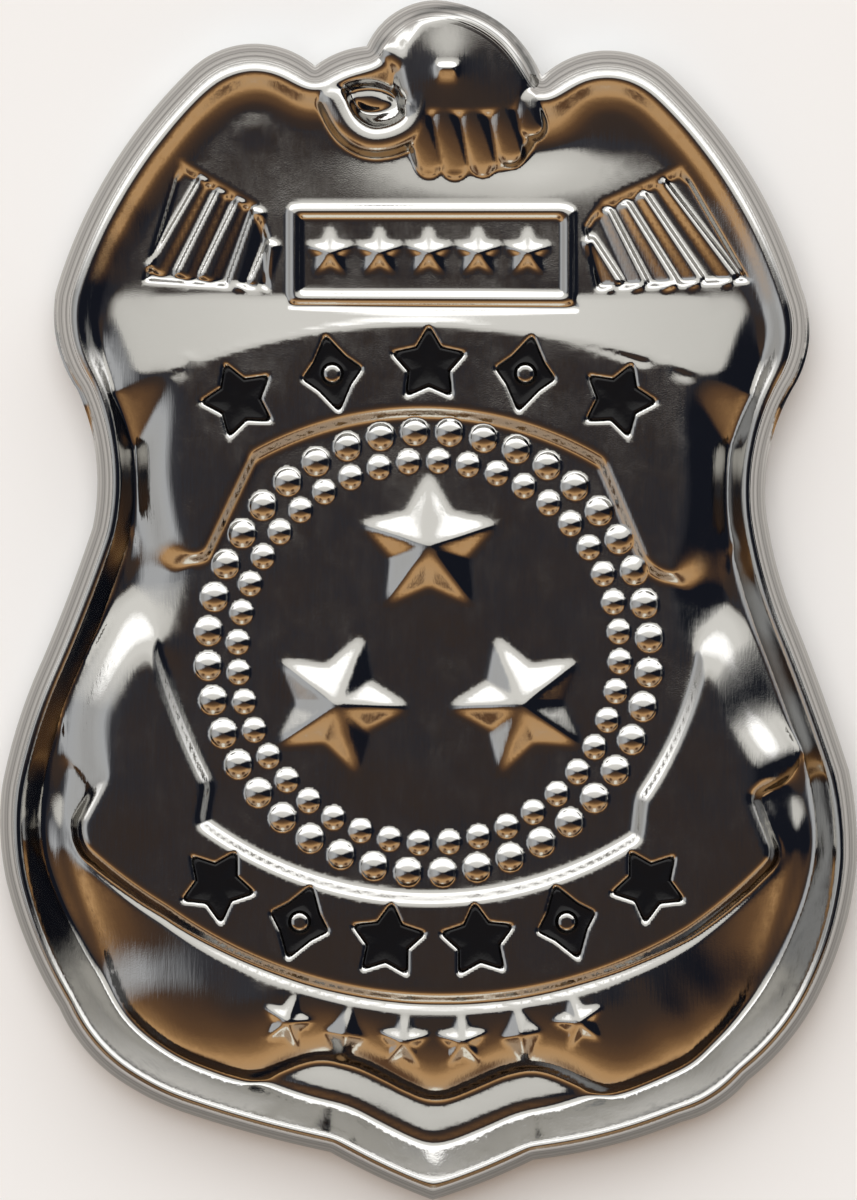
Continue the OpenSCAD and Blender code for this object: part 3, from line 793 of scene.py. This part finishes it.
def new_mesh(name, verts, faces):
    """A smooth mesh from places in millimetres"""
    mesh = bpy.data.meshes.new(name)
    mesh.from_pydata([(x * MM, y * MM, z * MM) for x, y, z in verts], [], faces)
    mesh.validate()
    mesh.polygons.foreach_set("use_smooth", [True] * len(mesh.polygons))
    return mesh


def placed(name, data):
    """A new object in the scene"""
    thing = bpy.data.objects.new(name, data)
    bpy.context.scene.collection.objects.link(thing)
    return thing


def sheet_mesh():
    """The pressed sheet: its face, its skirt and its hollow back, as one closed mesh"""
    s = sizes()
    relief = Relief(s.pitch)
    heights, back, shield = face_heights(relief)
    ring = Outline(SHIELD).points(EDGE_STEP)
    places = lattice(relief, heights, FACE_FINEST, FACE_TOLERANCE, FACE_COARSEST)
    beads = list(bead_places())
    for middle, bead_r in beads:
        away = np.hypot(places[:, 0] - middle[0], places[:, 1] - middle[1])
        places = places[away > BEAD_CLEAR * bead_r]
    rings = []
    for middle, bead_r in beads:
        rings.append([middle])
        for share, count in BEAD_RINGS:
            turns = (np.arange(count) + 0.5 * (count == 20)) * 2 * math.pi / count
            rings.append(middle + share * bead_r * np.column_stack([np.cos(turns), np.sin(turns)]))
    places = np.vstack([places] + rings)
    face, face_tris = filled(ring, places, 0.16)
    inner = inset_ring(ring, s.sheet)
    dy, dx = np.gradient(back, s.pitch)
    thick = s.sheet * np.sqrt(1 + np.minimum(dx * dx + dy * dy, 4))
    under = blurred(back - thick, 0.2 / s.pitch)
    rear, rear_tris = filled(inner, lattice(relief, under, 0.4, 0.06), 0.2)
    face_z = relief.sample(heights, face)
    rear_z = np.maximum(relief.sample(under, rear), 0.3)
    verts = [(x, y, z) for (x, y), z in zip(face, face_z)]
    faces = list(face_tris)
    # The skirt goes down from the face's edge, round the cut edge and up to the back's edge.
    count = len(ring)
    loops = [list(range(count))]
    skirt = [(0.0, 0.08), (0.03, 0.0), (s.sheet - 0.03, 0.0), (s.sheet, 0.08)]
    for inset, z in skirt:
        moved = inset_ring(ring, inset) if inset else ring
        loops.append(list(range(len(verts), len(verts) + count)))
        verts += [(x, y, z) for x, y in moved]
    start = len(verts)
    verts += [(x, y, z) for (x, y), z in zip(rear, rear_z)]
    faces += [tuple(start + i for i in reversed(f)) for f in rear_tris]
    loops.append([start + i for i in range(count)])
    for a, b in zip(loops, loops[1:]):
        for i in range(count):
            j = (i + 1) % count
            faces.append((a[i], b[i], b[j], a[j]))
    mesh = new_mesh("pressed_sheet", verts, faces)
    inset = mesh.attributes.new("inset", "FLOAT", "POINT")
    depths = np.zeros(len(verts))
    depths[:len(face)] = relief.sample(shield, face)
    inset.data.foreach_set("value", depths)
    dy, dx = np.gradient(heights, s.pitch)
    normals = np.zeros((len(verts), 3))
    slope_x, slope_y = relief.sample(dx, face), relief.sample(dy, face)
    lengths = np.sqrt(1 + slope_x ** 2 + slope_y ** 2)
    normals[:len(face)] = np.column_stack([-slope_x / lengths, -slope_y / lengths, 1 / lengths])
    mesh.normals_split_custom_set_from_vertices([tuple(n) for n in normals])
    return mesh


class Graph:
    """The nodes of a material or of the world"""

    def __init__(self, tree):
        self.nodes = tree.nodes
        self.link = tree.links.new

    def add(self, kind, inputs, **settings):
        """A new node, with some inputs linked to other nodes' outputs and others set"""
        node = self.nodes.new("ShaderNode" + kind)
        for name, value in settings.items():
            setattr(node, name, value)
        for name, value in inputs.items():
            if isinstance(value, bpy.types.NodeSocket):
                self.link(value, node.inputs[name])
            else:
                node.inputs[name].default_value = value
        return node

    def noise(self, scale, stretch=(1, 1, 1), detail=3.0, roughness=0.55):
        """Noise over the object's own places"""
        place = self.add("TexCoord", {}).outputs["Object"]
        mapping = self.add("Mapping", {"Vector": place, "Scale": stretch})
        inputs = {"Vector": mapping.outputs["Vector"], "Scale": scale, "Detail": detail,
                  "Roughness": roughness}
        return self.add("TexNoise", inputs).outputs["Fac"]

    def spread(self, value, low, high, out_low, out_high, kind="LINEAR"):
        """A value's range mapped to another"""
        inputs = {"Value": value, "From Min": low, "From Max": high, "To Min": out_low, "To Max": out_high}
        return self.add("MapRange", inputs, interpolation_type=kind).outputs["Result"]

    def math(self, operation, *values):
        """One sum of some values"""
        return self.add("Math", dict(enumerate(values)), operation=operation).outputs["Value"]

    def product(self, a, b):
        return self.math("MULTIPLY", a, b)

    def mix(self, factor, a, b):
        """A blend of two colours"""
        return self.add("Mix", {"Factor": factor, "A": a, "B": b}, data_type="RGBA").outputs["Result"]

    def bump(self, height, distance):
        """A bumpy normal from heights and the distance that a height of one stands for, in metres"""
        return self.add("Bump", {"Height": height, "Distance": distance, "Strength": 1}).outputs["Normal"]


def new_material(name):
    material = bpy.data.materials.new(name)
    material.use_nodes = True
    graph = Graph(material.node_tree)
    return material, graph, graph.nodes["Principled BSDF"]


def plated_metal():
    """Bright plate with a fine vertical grain, a faint speckle, dull clouds and lines along the edge, whose
    darker colour is painted shade
    """
    material, graph, shader = new_material("bright_plate")
    plate = tuple(bpy.context.scene.badge_colours.plate)
    shader.inputs["Base Color"].default_value = (*plate, 1)
    shader.inputs["Metallic"].default_value = 1
    shader.inputs["Specular Tint"].default_value = (0.3, 0.3, 0.3, 1)
    patches = graph.noise(900, (1, 0.35, 1), 6, 0.7)
    graph.link(graph.spread(patches, 0.4, 0.75, 0.035, 0.12), shader.inputs["Roughness"])
    grain = graph.noise(6500, (1, 0.07, 1), 3, 0.6)
    speckle = graph.noise(12000, (1, 1, 1), 2, 0.6)
    clouds = graph.spread(graph.noise(300, (1, 1, 1), 3, 0.6), 0.45, 0.7, 0.12, 0.65)
    # Fine lines run along the sheet's edge, on the outer slope. They are bumped like drawn lines in the
    # metal, and their darker plate colour is painted shade that greys the outer slope.
    inset = graph.add("Attribute", {}, attribute_name="inset").outputs["Fac"]
    lines = graph.add("TexNoise", {"W": inset, "Scale": 7, "Detail": 2}, noise_dimensions="1D")
    lines = lines.outputs["Fac"]
    near = graph.product(graph.spread(inset, 0.9, 1.4, 1, 0), graph.spread(inset, 0.0001, 0.001, 0, 1))
    along = graph.spread(graph.product(lines, near), 0, 1, 0, 5)
    edge_lines_painted_shade = graph.product(near, graph.spread(lines, 0.35, 0.6, 1, 0))
    # Painted shade: in the lines the plate's colour falls to half, so the outer slope looks grey.
    dark = tuple(0.5 * c for c in plate)
    graph.link(graph.mix(edge_lines_painted_shade, (*plate, 1), (*dark, 1)), shader.inputs["Base Color"])
    total = graph.math("ADD", graph.math("ADD", grain, graph.product(speckle, clouds)), along)
    graph.link(graph.bump(total, PLATE_BUMP), shader.inputs["Normal"])
    return material


def enamel_gloss():
    """Thick black enamel with a faint unevenness"""
    material, graph, shader = new_material("black_enamel")
    shader.inputs["Base Color"].default_value = (*bpy.context.scene.badge_colours.enamel, 1)
    shader.inputs["Specular IOR Level"].default_value = 0.3
    shader.inputs["Roughness"].default_value = 0.07
    graph.link(graph.bump(graph.noise(1500), ENAMEL_BUMP), shader.inputs["Normal"])
    return material


def add_piece(name, mesh, material, nodes):
    piece = placed(name, mesh)
    mesh.materials.append(material)
    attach(piece, "root")
    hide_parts(*nodes)
    return piece


def enamel_mesh(name, place, turn, is_star, low, high):
    """A puddle of enamel that fills a sunk figure, a little hollow in its middle, between two heights"""
    s = sizes()
    count = ENAMEL_SIDES
    angles = np.arange(count) * 2 * math.pi / count
    shape = star_radius(angles, BROAD_STAR) if is_star else lozenge_radius(angles)
    edge = np.minimum(shape, 0.93) * (s.place_r - s.enamel_gap)
    hole = 0 if is_star else LOZENGE_PEG * s.place_r + 0.12
    # A row of the section is [share from the hole to the edge, height as a share of the enamel's own].
    section = [(0, 0), (1, 0), (1, 0.9), (0.97, 1), (0.88, 0.97), (0.6, 0.86), (0.3, 0.84), (0, 0.84)]
    if not is_star:
        section[-1:] = [(0.1, 0.9), (0.02, 1), (0, 0.9)]
    rings = []
    verts = []
    for share, rise in section:
        radius = hole + (edge - hole) * share
        z = low + (high - low) * rise
        ring = range(len(verts), len(verts) + count)
        verts += [(place[0] - r * math.sin(a - turn), place[1] + r * math.cos(a - turn), z)
                  for r, a in zip(radius, angles)]
        rings.append(list(ring))
    faces = []
    for a, b in zip(rings, rings[1:] + rings[:1]):
        faces += [(a[i], a[(i + 1) % count], b[(i + 1) % count], b[i]) for i in range(count)]
    mesh = new_mesh(name, verts, faces)
    shaped = bmesh.new()
    shaped.from_mesh(mesh)
    bmesh.ops.remove_doubles(shaped, verts=shaped.verts, dist=1e-6)
    bmesh.ops.recalc_face_normals(shaped, faces=shaped.faces)
    shaped.to_mesh(mesh)
    shaped.free()
    mesh.set_sharp_from_angle(angle=math.radians(50))
    return mesh


class BADGE_OT_sheet(bpy.types.Operator):
    """Make the pressed sheet with all its relief"""

    bl_idname = "badge.sheet"
    bl_label = "Pressed sheet"

    def execute(self, context):
        add_piece("pressed_sheet", sheet_mesh(), plated_metal(), ["pressed_shell"])
        return {"FINISHED"}


class BADGE_OT_enamel(bpy.types.Operator):
    """Finish the black enamel of both ribbons"""

    bl_idname = "badge.enamel"
    bl_label = "Enamel"

    def execute(self, context):
        gloss = enamel_gloss()
        for row in ENAMEL_ROWS:
            for i, (place, turn, is_star) in enumerate(figure_places(row)):
                node = f"{row}_fill_{i + 1}"
                low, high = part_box(node)
                name = f"{row}_enamel_{i + 1}"
                mesh = enamel_mesh(name, place, turn, is_star, low.z / MM, high.z / MM)
                add_piece(name, mesh, gloss, [node])
        return {"FINISHED"}


class BADGE_OT_pin(bpy.types.Operator):
    """Finish the pin bar behind the badge"""

    bl_idname = "badge.pin"
    bl_label = "Pin bar"

    def execute(self, context):
        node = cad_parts["pin_back"]
        node.data.materials.clear()
        node.data.materials.append(plated_metal())
        return {"FINISHED"}


# The light that comes from each direction, over the badge from behind its tip (-Y) through straight
# above to past its head (+Y). A row is [angle from straight above in degrees, colour].
SKY_STRENGTH = 2.5
SKY_BANDS = [
    [-130, (0.42, 0.36, 0.31)], [-108, (0.50, 0.42, 0.36)], [-98, (0.52, 0.40, 0.30)],
    [-84, (0.50, 0.37, 0.26)], [-72, (0.60, 0.42, 0.27)], [-58, (0.74, 0.46, 0.23)],
    [-46, (0.72, 0.42, 0.19)], [-38, (0.40, 0.22, 0.095)], [-28, (0.19, 0.10, 0.048)],
    [-15, (0.095, 0.055, 0.036)], [-9, (0.066, 0.045, 0.036)], [2, (0.05, 0.038, 0.034)],
    [8, (0.85, 0.84, 0.8)], [26, (1.08, 1.07, 1.03)], [38, (1.1, 1.09, 1.05)], [52, (2.3, 2.3, 2.3)],
    [76, (2.2, 2.2, 2.2)], [90, (1.0, 0.99, 0.95)], [106, (0.62, 0.61, 0.58)], [130, (0.5, 0.5, 0.48)],
]
# The same from the left (-X) through straight above to the right (+X)
SIDE_BANDS = [
    [-130, (0.5, 0.5, 0.48)], [-95, (0.55, 0.54, 0.52)], [-78, (0.5, 0.5, 0.5)],
    [-60, (0.62, 0.63, 0.64)], [-36, (0.62, 0.64, 0.67)], [-13, (0.06, 0.06, 0.07)],
    [20, (0.012, 0.014, 0.022)], [75, (0.012, 0.014, 0.022)], [88, (0.45, 0.45, 0.44)],
    [130, (0.5, 0.5, 0.48)],
]


# Soft round patches in that light. A row is [share towards +X, angle from straight above in degrees,
# reach, colour].
SKY_PATCHES = [
    [0.5, -64, 0.24, (0.16, 0.08, 0.04)], [-0.5, -64, 0.24, (0.16, 0.08, 0.04)],
    [0.0, -74, 0.2, (1.2, 1.15, 1.0)],
]


def sky_colour(colour):
    """A colour of the light as the world's strength needs it"""
    return (*[c / SKY_STRENGTH for c in colour], 1)


def band_colours(graph, split, axis, bands):
    """Colours by the angle from straight above towards an axis"""
    angle = graph.math("ARCTAN2", split.outputs[axis], split.outputs["Z"])
    share = graph.spread(angle, -math.pi, math.pi, 0, 1)
    ramp = graph.add("ValToRGB", {"Fac": share})
    stops = ramp.color_ramp.elements
    while len(stops) > 1:
        stops.remove(stops[-1])
    stops[0].position = 0
    for degrees, colour in bands:
        stops.new(0.5 + degrees / 360).color = sky_colour(colour)
    stops[0].color = stops[1].color
    return ramp.outputs["Color"]


def studio_world():
    """A soft studio: dark straight above, a bright screen past the head, warm wood past the tip"""
    world = bpy.data.worlds.new("studio")
    bpy.context.scene.world = world
    world.use_nodes = True
    graph = Graph(world.node_tree)
    background = graph.nodes["Background"]
    place = graph.add("TexCoord", {}).outputs["Generated"]
    split = graph.add("SeparateXYZ", {"Vector": place})
    colours = band_colours(graph, split, "Y", SKY_BANDS)
    for side, degrees, reach, colour in SKY_PATCHES:
        turn = math.radians(degrees)
        towards = Vector((side, math.sin(turn), math.cos(turn))).normalized()
        spot = graph.add("VectorMath", {0: place, 1: towards}, operation="DISTANCE").outputs["Value"]
        patch = graph.spread(spot, reach * 0.3, reach * 1.1, 1, 0, "SMOOTHSTEP")
        colours = graph.mix(patch, colours, sky_colour(colour))
    sides = band_colours(graph, split, "X", SIDE_BANDS)
    flat = graph.add("VectorMath", {0: place, 1: (1, 1, 0)}, operation="MULTIPLY").outputs["Vector"]
    turned = graph.add("VectorMath", {0: flat}, operation="NORMALIZE").outputs["Vector"]
    across = graph.math("ABSOLUTE", graph.add("SeparateXYZ", {"Vector": turned}).outputs["X"])
    share = graph.spread(across, 0.87, 0.96, 0, 1)
    graph.link(graph.mix(share, colours, sides), background.inputs["Color"])
    background.inputs["Strength"].default_value = SKY_STRENGTH


class BADGE_OT_stage(bpy.types.Operator):
    """Make the pale floor, the soft light and the camera straight above"""

    bl_idname = "badge.stage"
    bl_label = "Stage"

    def execute(self, context):
        mesh = bpy.data.meshes.new("floor")
        half = FLOOR_HALF
        mesh.from_pydata([(-half, -half, 0), (half, -half, 0), (half, half, 0), (-half, half, 0)], [],
                         [(0, 1, 2, 3)])
        floor = placed("floor", mesh)
        material, _, shader = new_material("pale_floor")
        shader.inputs["Base Color"].default_value = (*context.scene.badge_colours.floor, 1)
        shader.inputs["Roughness"].default_value = 0.9
        mesh.materials.append(material)
        studio_world()
        # A broad soft lamp for the floor, which the metal doesn't mirror
        lamp_data = bpy.data.lights.new("floor_lamp", "AREA")
        lamp_data.size = 2
        lamp_data.energy = 15.5
        lamp = placed("floor_lamp", lamp_data)
        lamp.location = (-0.2, 0.3, 1.5)
        lamp.rotation_euler = (-lamp.location).to_track_quat("-Z", "Y").to_euler()
        lamp.visible_glossy = False
        camera_data = bpy.data.cameras.new("camera")
        camera = placed("camera", camera_data)
        low, high = SHELL_BOX
        camera.location = ((low.x + high.x) / 2, (low.y + high.y) / 2, CAMERA_HEIGHT)
        camera_data.sensor_fit = "VERTICAL"
        reach = 0.5 * CAMERA_MARGIN * (high.y - low.y)
        camera_data.angle = 2 * math.atan(reach / (CAMERA_HEIGHT - OUTLINE_HEIGHT))
        camera_data.clip_start = 0.01
        context.scene.camera = camera
        context.scene.view_settings.view_transform = "Standard"
        return {"FINISHED"}


OPERATORS = (BADGE_OT_stage, BADGE_OT_sheet, BADGE_OT_enamel, BADGE_OT_pin)


class BADGE_PT_panel(bpy.types.Panel):
    """The badge's pieces, sizes and colours"""

    bl_label = "Pressed Shield Badge"
    bl_space_type = "VIEW_3D"
    bl_region_type = "UI"
    bl_category = "Badge"

    def draw(self, context):
        for group in (context.scene.badge_sizes, context.scene.badge_colours):
            for name in group.__annotations__:
                self.layout.prop(group, name)
        for operator in OPERATORS:
            self.layout.operator(operator.bl_idname)


CLASSES = (BadgeSizes, BadgeColours) + OPERATORS + (BADGE_PT_panel,)


def register():
    for entry in CLASSES:
        bpy.utils.register_class(entry)
    bpy.types.Scene.badge_sizes = bpy.props.PointerProperty(type=BadgeSizes)
    bpy.types.Scene.badge_colours = bpy.props.PointerProperty(type=BadgeColours)


def unregister():
    del bpy.types.Scene.badge_sizes
    del bpy.types.Scene.badge_colours
    for entry in reversed(CLASSES):
        bpy.utils.unregister_class(entry)


def main():
    register()
    bpy.ops.badge.stage()
    bpy.ops.badge.sheet()
    bpy.ops.badge.enamel()
    bpy.ops.badge.pin()


if __name__ == "__main__":
    main()
